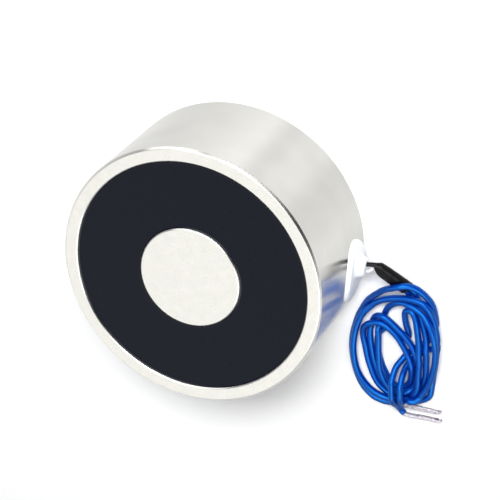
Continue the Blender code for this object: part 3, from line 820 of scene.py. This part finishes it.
class MAGNET_OT_camera(bpy.types.Operator):
    """Places the camera at the photograph's viewing angle"""

    bl_idname = "magnet.camera"
    bl_label = "Camera"

    def execute(self, context):
        data = bpy.data.cameras.new("camera")
        data.lens = CAMERA_LENS
        data.sensor_width = CAMERA_SENSOR
        data.clip_start = 0.01
        camera = bpy.data.objects.new("camera", data)
        context.collection.objects.link(camera)
        back = CAMERA_RIGHT.cross(CAMERA_UP)
        camera.matrix_world = (
            Matrix.Translation(CAMERA_PLACE) @ Matrix((CAMERA_RIGHT, CAMERA_UP, back)).transposed().to_4x4()
        )
        context.scene.camera = camera
        return {"FINISHED"}


class MAGNET_OT_leads(bpy.types.Operator):
    """Makes the two flexible leads, their sleeves, their stripped tips and the heat-shrink tube"""

    bl_idname = "magnet.leads"
    bl_label = "Leads"

    def execute(self, context):
        blue = insulation(tuple(magnet_settings().insulation_colour))
        tinned = tinned_copper()
        sleeving = {"a": black_sleeving(), "b": clear_sleeving()}
        sides = {"a": 1, "b": -1}
        ends = {"a": "start", "b": "finish"}
        lines = settled({lead: planned_route(lead, side) for lead, side in sides.items()})
        shrink = self.heat_shrink()
        for lead, side in sides.items():
            line = smooth_route(lines[lead], ROUTE_SPACING)
            cord = cord_curve(f"flexible_lead_{lead}", line, LEAD_DIAMETER, blue)
            tip_route = smooth_route([from_mouth(point) for point in TIP_ROUTES[lead]], ROUTE_SPACING)
            inside = line[-1] + (line[-1] - tip_route[0])
            tip = twisted_strands(f"tinned_tip_{lead}", np.vstack([inside[None], tip_route]), tinned)
            sleeve = self.sleeve(f"{ends[lead]}_sleeving", side, sleeving[lead])
            for piece in (cord, tip, sleeve):
                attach(piece, BODY)
            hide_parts(f"lead_{lead}_tip")
            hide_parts(f"{ends[lead]}_sleeve")
            replaced = [f"lead_{lead}_run", f"lead_{lead}_tail"]
            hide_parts(*(replaced + ["lead_coil"] if lead == "a" else replaced))
        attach(shrink, BODY)
        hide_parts("heat_shrink")
        return {"FINISHED"}

    @staticmethod
    def sleeve(name, side, finish):
        """The sleeve over one coil lead, from inside the bush to inside the heat-shrink tube."""
        across = side * SLEEVE_SPACING / 2
        inner = Vector((BUSH_FACE - SLEEVE_INNER_REACH, across, BUSH_HEIGHT))
        mouth = Vector((BUSH_MOUTH, across, BUSH_HEIGHT))
        entry = channel(side)
        handles = mouth + Vector((BEND_REACH, 0.0, 0.0)), entry - BEND_REACH * SHRINK_DIRECTION
        bend = interpolate_bezier(mouth, *handles, entry, 7)
        line = smooth_route([inner, *bend, entry + SLEEVE_REACH * SHRINK_DIRECTION], ROUTE_SPACING)
        curve = cord_curve(name, line, SLEEVE_DIAMETER, finish)
        curve.data.use_fill_caps = False
        walled(curve, SLEEVE_WALL)
        return as_mesh_piece(curve)

    @staticmethod
    def heat_shrink():
        """The flattened heat-shrink tube, cut at a slant at its near end and drawn in over what it covers."""
        wide, narrow = shrink_axes()
        offset = (LEAD_DIAMETER + SHRINK_FIT) / 2
        radius = LEAD_DIAMETER / 2 + SHRINK_FIT + SHRINK_WALL
        shape = bmesh.new()
        circle = bmesh.ops.create_circle(shape, cap_ends=False, segments=SHRINK_SIDES, radius=1.0)["verts"]
        edges = list({edge for vert in circle for edge in vert.link_edges})
        bmesh.ops.translate(shape, verts=circle, vec=(0.0, 0.0, -FUNNEL_LENGTH))
        step = (SHRINK_LENGTH + FUNNEL_LENGTH) / SHRINK_SECTIONS
        for _ in range(SHRINK_SECTIONS):
            grown = bmesh.ops.extrude_edge_only(shape, edges=edges)["geom"]
            ring = [item for item in grown if isinstance(item, bmesh.types.BMVert)]
            edges = [item for item in grown if isinstance(item, bmesh.types.BMEdge)]
            edges = [edge for edge in edges if edge.verts[0] in ring and edge.verts[1] in ring]
            bmesh.ops.translate(shape, verts=ring, vec=(0.0, 0.0, step))
        for vert in shape.verts:
            along = vert.co.z
            opened = min(1.0, max(0.0, 1.0 + along / FUNNEL_LENGTH))
            opened = opened * opened * (3 - 2 * opened)
            around = FUNNEL_RADIUS + (radius - FUNNEL_RADIUS) * opened
            full = min(1.0, max(0.0, along / (FILLED_SHARE * SHRINK_LENGTH)))
            from_waist = (along / SHRINK_LENGTH - WAIST_SHARE) / WAIST_WIDTH
            waist = 1.0 - WAIST_DEPTH * math.exp(-(from_waist**2))
            side = math.copysign(offset * opened, vert.co.x) if abs(vert.co.x) > 0.01 else 0.0
            vert.co.x = (FUNNEL_SHIFT.x * (1 - opened) + side + vert.co.x * around) * (0.95 + 0.05 * full)
            vert.co.y = FUNNEL_SHIFT.y * (1 - opened) + vert.co.y * around * (0.9 + 0.1 * full) * waist
        slope = MOUTH_LOW - MOUTH_HIGH
        bmesh.ops.bisect_plane(
            shape,
            geom=shape.verts[:] + shape.edges[:] + shape.faces[:],
            plane_co=(MOUTH_HIGH.x, 0.0, MOUTH_HIGH.y),
            plane_no=(-slope.y, 0.0, slope.x),
            clear_outer=True,
        )
        place = Matrix((wide, narrow, SHRINK_DIRECTION)).transposed().to_4x4()
        place.translation = SHRINK_NEAR_END
        bmesh.ops.transform(shape, matrix=place, verts=shape.verts)
        tube = piece_object("heat_shrink_tube", shape, (shrunk_polyolefin(),))
        walled(tube, SHRINK_WALL)
        applied(tube)
        smooth(tube.data)
        return tube


class MAGNET_OT_pot(bpy.types.Operator):
    """Turns the nickel-plated pot with its core, its thread and the hole for the leads"""

    bl_idname = "magnet.pot"
    bl_label = "Pot"

    def execute(self, context):
        edge = magnet_settings().edge_rounding
        outline = rounded(
            (
                (0.0, POT_HEIGHT, 0.0),
                (CORE_RADIUS - POLE_CHAMFER, POT_HEIGHT, edge),
                (CORE_RADIUS, POT_HEIGHT - POLE_CHAMFER, edge),
                (CORE_RADIUS, POCKET_FLOOR, 0.0),
                (BORE_RADIUS, POCKET_FLOOR, 0.0),
                (BORE_RADIUS, POT_HEIGHT - POLE_CHAMFER, edge),
                (BORE_RADIUS + POLE_CHAMFER, POT_HEIGHT, edge),
                (POT_RADIUS - RIM_CHAMFER, POT_HEIGHT, edge),
                (POT_RADIUS, POT_HEIGHT - RIM_CHAMFER, edge),
                (POT_RADIUS, BACK_CHAMFER, edge),
                (POT_RADIUS - BACK_CHAMFER, 0.0, edge),
                (HOLE_MOUTH_RADIUS, 0.0, edge),
                (THREAD_RADIUS, HOLE_MOUTH_RADIUS - THREAD_RADIUS, 0.0),
                (THREAD_RADIUS, HOLE_DEPTH - (THREAD_RADIUS - THREAD_CREST), 0.0),
                (THREAD_CREST, HOLE_DEPTH, 0.0),
                (0.0, HOLE_DEPTH + HOLE_POINT, 0.0),
            )
        )
        shape = spun(outline, closed=False)
        bmesh.ops.remove_doubles(shape, verts=shape.verts, dist=WELD)
        shape.normal_update()
        # The level faces above the pocket's floor are the holding faces
        for face in shape.faces:
            level = abs(face.normal.z) > 0.99
            face.material_index = int(level and face.calc_center_median().z > POCKET_FLOOR)
        pot = piece_object("nickel_pot", shape, (bright_nickel(), ground_nickel()))
        start = Vector((BORE_RADIUS - POLE_CHAMFER, 0.0, BUSH_HEIGHT))
        end = Vector((POT_RADIUS + POLE_CHAMFER, 0.0, BUSH_HEIGHT))
        cut(pot, rod("wall_hole_cutter", start, end, WALL_HOLE_RADIUS))
        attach(pot, BODY)
        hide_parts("pot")
        self.thread()
        return {"FINISHED"}

    @staticmethod
    def thread():
        """The thread's ridge, wound up the inside of the fixing hole."""
        root = THREAD_RADIUS - THREAD_FIT
        foot = 0.4 * THREAD_PITCH
        flat = THREAD_PITCH / 12
        shape = bmesh.new()
        corners = ((root, -foot), (THREAD_CREST, -flat), (THREAD_CREST, flat), (root, foot))
        verts = [shape.verts.new((radius, 0.0, height)) for radius, height in corners]
        face = shape.faces.new(verts)
        bmesh.ops.translate(shape, verts=verts, vec=(0.0, 0.0, HOLE_MOUTH_RADIUS - THREAD_RADIUS + foot))
        bmesh.ops.spin(
            shape,
            geom=[face, *face.edges, *verts],
            cent=(0, 0, 0),
            axis=(0, 0, 1),
            dvec=(0.0, 0.0, THREAD_PITCH / THREAD_STEPS),
            angle=2 * math.pi * THREAD_TURNS,
            steps=THREAD_STEPS * THREAD_TURNS,
        )
        ridge = piece_object("fixing_thread", shape, (bright_nickel(),))
        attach(ridge, BODY)


class MAGNET_OT_resin(bpy.types.Operator):
    """Casts the black resin between the core and the wall, creeping up both"""

    bl_idname = "magnet.resin"
    bl_label = "Resin"

    def execute(self, context):
        inner = CORE_RADIUS + RESIN_FIT
        outer = BORE_RADIUS - RESIN_FIT
        rise = [(reach * MM, height * MM) for reach, height in MENISCUS]
        outline = [
            (inner, RESIN_UNDERSIDE),
            *((inner + reach, RESIN_TOP + height) for reach, height in rise),
            *((outer - reach, RESIN_TOP + height) for reach, height in reversed(rise)),
            (outer, SKIRT_BOTTOM),
            (SKIRT_RADIUS, SKIRT_BOTTOM),
            (SKIRT_RADIUS, RESIN_UNDERSIDE),
        ]
        resin = piece_object("cast_resin", spun(outline, closed=True), (cast_epoxy(),))
        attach(resin, BODY)
        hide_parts("potting_resin")
        return {"FINISHED"}


class MAGNET_OT_bush(bpy.types.Operator):
    """Moulds the white exit bush: an oval saddle on the wall, a boss and a neck through the wall"""

    bl_idname = "magnet.bush"
    bl_label = "Exit bush"

    def execute(self, context):
        thick = magnet_settings().saddle_thickness
        reach = SADDLE_HALF_LENGTH
        projection = BUSH_MOUTH - BUSH_FACE
        neck = WALL_HOLE_RADIUS - 0.3 * MM
        lip = WALL_HOLE_RADIUS + 0.2 * MM
        wall = -(POT_RADIUS - BORE_RADIUS) - 0.74 * MM
        # Each pair is the distance from the bush's axis and how far out of the wall it is: the boss
        # with its hollow flank, the saddle with its rolled edge, then the neck and the lip inside
        profile = [
            (0.0, projection), (1.7 * MM, projection), (2.1 * MM, projection - 0.06 * MM),
            (2.3 * MM, projection - 0.3 * MM), (2.7 * MM, thick + 0.75 * MM),
            (2.95 * MM, thick + 0.25 * MM), (3.4 * MM, thick + 0.03 * MM),
            (4.2 * MM, thick), (5.4 * MM, thick), (6.6 * MM, thick - 0.02 * MM),
            (reach - 0.8 * MM, thick - 0.08 * MM), (reach - 0.4 * MM, thick - 0.22 * MM),
            (reach - 0.12 * MM, thick - 0.48 * MM), (reach, 0.18 * MM), (reach - 0.02 * MM, -SEAT),
            (reach - 1.0 * MM, -SEAT), (5.5 * MM, -SEAT), (4.0 * MM, -SEAT), (neck, -SEAT),
            (neck, wall), (lip, wall), (lip, wall - 0.4 * MM), (lip - 0.3 * MM, wall - 0.7 * MM),
            (0.0, wall - 0.7 * MM),
        ]
        shape = spun(profile, closed=False, steps=BUSH_STEPS)
        bmesh.ops.remove_doubles(shape, verts=shape.verts, dist=WELD)
        for vert in shape.verts:
            self.onto_wall(vert)
        bush = piece_object("white_bush", shape, (moulded_rubber(),))
        for side in (1, -1):
            across = side * SLEEVE_SPACING / 2
            start = Vector((BUSH_FACE + wall - 2.0 * MM, across, BUSH_HEIGHT))
            end = Vector((BUSH_MOUTH + 1.0 * MM, across, BUSH_HEIGHT))
            cut(bush, rod("sleeve_hole_cutter", start, end, SLEEVE_DIAMETER / 2 + SLEEVE_HOLE_FIT, sides=32))
        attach(bush, BODY)
        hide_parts("exit_bush")
        # Its mirror image in the wall behind it would make the saddle look wider than it is
        bush.visible_glossy = False
        return {"FINISHED"}

    @staticmethod
    def onto_wall(vert):
        """Moves a point of the flat, round bush to where it lies on the pot's round wall."""
        across, up, out = vert.co.x, vert.co.y, vert.co.z
        beyond = math.hypot(across, up) - BOSS_RADIUS
        share = min(1.0, max(0.0, beyond / (SADDLE_HALF_LENGTH - BOSS_RADIUS)))
        up *= 1.0 - (1.0 - SADDLE_SLIMNESS) * share
        if share > 0.0:
            angle = across / BUSH_FACE + SADDLE_TURN * share
            radius = BUSH_FACE + out
            vert.co = (radius * math.cos(angle), radius * math.sin(angle), BUSH_HEIGHT + up)
        else:
            vert.co = (BUSH_FACE + out, across, BUSH_HEIGHT + up)


class MAGNET_OT_coil(bpy.types.Operator):
    """Gives the pieces inside the resin and the enamelled leads within the sleeves their finishes"""

    bl_idname = "magnet.coil"
    bl_label = "Coil"

    def execute(self, context):
        copper, solder = enamelled_copper(), soft_solder()
        finishes = {
            "coil_bobbin": moulded_nylon(),
            "winding": copper,
            "winding_tape": polyester_tape(),
            "start_lead": copper,
            "finish_lead": copper,
            "start_splice": solder,
            "finish_splice": solder,
        }
        for node, finish in finishes.items():
            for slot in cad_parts[node].material_slots:
                slot.material = finish
        return {"FINISHED"}


class MAGNET_OT_stage(bpy.types.Operator):
    """Lays the pale floor and sets the soft studio light"""

    bl_idname = "magnet.stage"
    bl_label = "Stage"

    def execute(self, context):
        stage = context.scene.magnet_stage
        shape = bmesh.new()
        bmesh.ops.create_grid(shape, x_segments=1, y_segments=1, size=FLOOR_HALF_SIZE)
        bmesh.ops.translate(shape, verts=shape.verts, vec=(0.0, 0.0, -FLOOR_DROP))
        colour = tuple(stage.floor_colour)
        made, tree, shader = new_material("matt_paper_floor", colour, 0.0, 0.9)
        shader.inputs["Specular IOR Level"].default_value = 0.0
        paler = tuple(min(1.0, 1.01 * channel) for channel in colour[:3]) + (1.0,)
        vary(tree, shader, pattern(tree, 3.0), colours=(colour, paler))
        floor = piece_object("floor", shape, (made,))
        floor.visible_glossy = False  # the wall mirrors the sky's bands instead
        self.lamp(context, "key_lamp", *KEY_LAMP, stage.key_power)
        self.lamp(context, "front_lamp", *FRONT_LAMP, stage.front_power)
        self.lamp(context, "side_lamp", *SIDE_LAMP, stage.side_power)
        self.surroundings(context, stage.sky_strength)
        context.scene.view_settings.view_transform = "Standard"
        return {"FINISHED"}

    @staticmethod
    def lamp(context, name, direction, size, power):
        """A square soft lamp that points at the magnet from an azimuth and elevation in degrees."""
        data = bpy.data.lights.new(name, "AREA")
        data.size = size
        data.energy = power
        made = bpy.data.objects.new(name, data)
        made.visible_glossy = False
        context.collection.objects.link(made)
        azimuth, elevation = (math.radians(angle) for angle in direction)
        level = math.cos(elevation)
        away = Vector((level * math.cos(azimuth), level * math.sin(azimuth), math.sin(elevation)))
        made.matrix_world = aimed(away * LAMP_DISTANCE, away)

    @staticmethod
    def surroundings(context, strength):
        """White surroundings, which shiny surfaces see as soft boxes with grey gaps between them."""
        world = bpy.data.worlds.new("studio")
        context.scene.world = world
        world.use_nodes = True
        tree = world.node_tree
        tree.nodes.clear()
        direction = add_node(tree, "ShaderNodeTexCoord").outputs["Generated"]
        axes = add_node(tree, "ShaderNodeSeparateXYZ", None, {"Vector": direction}).outputs
        turn = add_node(tree, "ShaderNodeMath", {"operation": "ARCTAN2"}, {0: axes["Y"], 1: axes["X"]})
        round_sky = {"From Min": -math.pi, "From Max": math.pi}
        around = add_node(tree, "ShaderNodeMapRange", round_sky, {"Value": turn.outputs["Value"]})
        bands = add_node(tree, "ShaderNodeValToRGB", None, {"Fac": around.outputs["Result"]})
        bands.color_ramp.interpolation = "EASE"
        elements = bands.color_ramp.elements
        elements[0].position, elements[1].position = WALL_BANDS[0][0], WALL_BANDS[-1][0]
        for position, _ in WALL_BANDS[1:-1]:
            elements.new(position)
        for element, (_, value) in zip(elements, WALL_BANDS):
            element.color = (value, value, value, 1.0)
        layers = [(axes["Z"], 0.0, HIGH_SKY_HEIGHT, HIGH_SKY_BRIGHTNESS)]
        for place, start, full, brightness in SOFT_BOXES:
            facing = add_node(tree, "ShaderNodeVectorMath", {"operation": "DOT_PRODUCT"}, {0: direction})
            facing.inputs[1].default_value = place
            layers.append((facing.outputs["Value"], start, full, brightness))
        seen = bands.outputs["Color"]
        for factor, start, full, brightness in layers:
            settings = {
                "interpolation_type": "SMOOTHSTEP",
                "From Min": start,
                "From Max": full,
                "To Max": brightness,
            }
            links = {"Value": factor, "To Min": seen}
            seen = add_node(tree, "ShaderNodeMapRange", settings, links).outputs["Result"]
        white = {"Color": (1.0, 1.0, 1.0, 1.0), "Strength": 1.0}
        reflected = add_node(tree, "ShaderNodeBackground", white, {"Strength": seen})
        plain = add_node(tree, "ShaderNodeBackground", white)
        light = add_node(tree, "ShaderNodeBackground", {"Color": EVEN_LIGHT, "Strength": strength})
        path = add_node(tree, "ShaderNodeLightPath").outputs
        rays = {0: path["Is Glossy Ray"], 1: path["Is Transmission Ray"]}
        mirrored = add_node(tree, "ShaderNodeMath", {"operation": "MAXIMUM"}, rays).outputs["Value"]
        for factor, other in ((mirrored, reflected), (path["Is Camera Ray"], plain)):
            links = {0: factor, 1: light.outputs[0], 2: other.outputs[0]}
            light = add_node(tree, "ShaderNodeMixShader", None, links)
        add_node(tree, "ShaderNodeOutputWorld", None, {"Surface": light.outputs["Shader"]})


class MAGNET_PT_panel(bpy.types.Panel):
    """Lists the magnet's sizes, colours and pieces."""

    bl_idname = "MAGNET_PT_panel"
    bl_label = "Holding electromagnet"
    bl_space_type = "VIEW_3D"
    bl_region_type = "UI"
    bl_category = "Magnet"

    def draw(self, context):
        layout = self.layout
        for group in (context.scene.magnet_settings, context.scene.magnet_stage):
            for name in group.bl_rna.properties.keys():
                if name not in ("rna_type", "name"):
                    layout.prop(group, name)
        for operator in OPERATORS:
            layout.operator(operator.bl_idname)


OPERATORS = (
    MAGNET_OT_camera,
    MAGNET_OT_leads,
    MAGNET_OT_pot,
    MAGNET_OT_resin,
    MAGNET_OT_bush,
    MAGNET_OT_coil,
    MAGNET_OT_stage,
)
CLASSES = (MagnetSettings, StageSettings, *OPERATORS, MAGNET_PT_panel)


def register():
    for cls in CLASSES:
        bpy.utils.register_class(cls)
    bpy.types.Scene.magnet_settings = PointerProperty(type=MagnetSettings)
    bpy.types.Scene.magnet_stage = PointerProperty(type=StageSettings)


def unregister():
    del bpy.types.Scene.magnet_stage
    del bpy.types.Scene.magnet_settings
    for cls in reversed(CLASSES):
        bpy.utils.unregister_class(cls)


def main():
    register()
    bpy.ops.magnet.camera()
    bpy.ops.magnet.leads()
    bpy.ops.magnet.pot()
    bpy.ops.magnet.resin()
    bpy.ops.magnet.bush()
    bpy.ops.magnet.coil()
    bpy.ops.magnet.stage()


if __name__ == "__main__":
    main()
